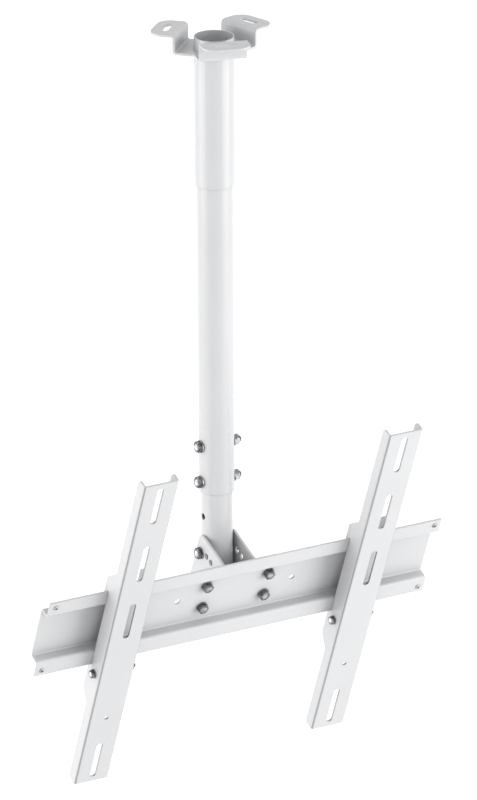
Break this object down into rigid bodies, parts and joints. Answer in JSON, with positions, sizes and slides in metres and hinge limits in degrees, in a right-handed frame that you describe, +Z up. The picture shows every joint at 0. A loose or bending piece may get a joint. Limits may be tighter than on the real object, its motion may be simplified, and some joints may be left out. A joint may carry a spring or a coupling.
{
  "type": "ceiling tv mount",
  "caption": "White ceiling television mount: folded ceiling bracket, telescopic round pole, and a tilting head with a hat-section rail and sliding channel arms.",
  "frame": {"origin": "centre of the ceiling plane on the pole's axis", "axes": "+Z up out of the ceiling face, along the pole; +X along the rail, to the right as seen from the television's side; -Y towards the television"},
  "size_m": [0.563, 0.2483, 0.9704],
  "materials": {
    "powder_coat": "satin white powder coat",
    "bolt_steel": "bright zinc plate",
    "washer_steel": "bright zinc plate",
    "nylon": "moulded nylon"
  },
  "bodies": {
    "root": {"ceiling_bracket": "powder_coat", "upper_tube": "powder_coat", "bracket_weld": "powder_coat", "clamp_weld_nuts": "powder_coat", "clamp_screws": "bolt_steel"},
    "bush": {"guide_bush": "nylon"},
    "mast": {"middle_tube": "powder_coat", "top_glide": "nylon", "lower_tube": "powder_coat", "pole_bolts": "bolt_steel", "pole_washers": "washer_steel", "pole_nuts": "bolt_steel", "pivot_bolt": "bolt_steel", "pivot_washers": "washer_steel", "pivot_nut": "bolt_steel", "guide_bolt": "bolt_steel", "guide_washers": "washer_steel", "guide_nut": "bolt_steel"},
    "head": {"cheek_left": "powder_coat", "cheek_right": "powder_coat", "rail": "powder_coat", "rail_bolts": "bolt_steel", "rail_washers": "washer_steel", "rail_nuts": "bolt_steel", "stop_screws": "bolt_steel"},
    "arm_left": {"arm_left": "powder_coat", "arm_left_bolt": "bolt_steel", "arm_left_washers": "washer_steel", "arm_left_nut": "bolt_steel"},
    "arm_right": {"arm_right": "powder_coat", "arm_right_bolt": "bolt_steel", "arm_right_washers": "washer_steel", "arm_right_nut": "bolt_steel"}
  },
  "joints": [
    {"name": "pole_swivel", "type": "hinge", "parent": "root", "child": "bush", "pos_m": [0, 0, -0.187], "axis": [0, 0, 1], "continuous": true},
    {"name": "pole_height", "type": "slide", "parent": "bush", "child": "mast", "axis": [0, 0, 1], "range_m": [-0.044, 0.05]},
    {"name": "head_tilt", "type": "hinge", "parent": "mast", "child": "head", "pos_m": [0, 0, -0.6845], "axis": [1, 0, 0], "range_deg": [-22.5, 2.5]},
    {"name": "arm_left_slide", "type": "slide", "parent": "head", "child": "arm_left", "axis": [1, 0, 0], "range_m": [-0.067, 0.141]},
    {"name": "arm_right_slide", "type": "slide", "parent": "head", "child": "arm_right", "axis": [1, 0, 0], "range_m": [-0.139, 0.073]}
  ]
}
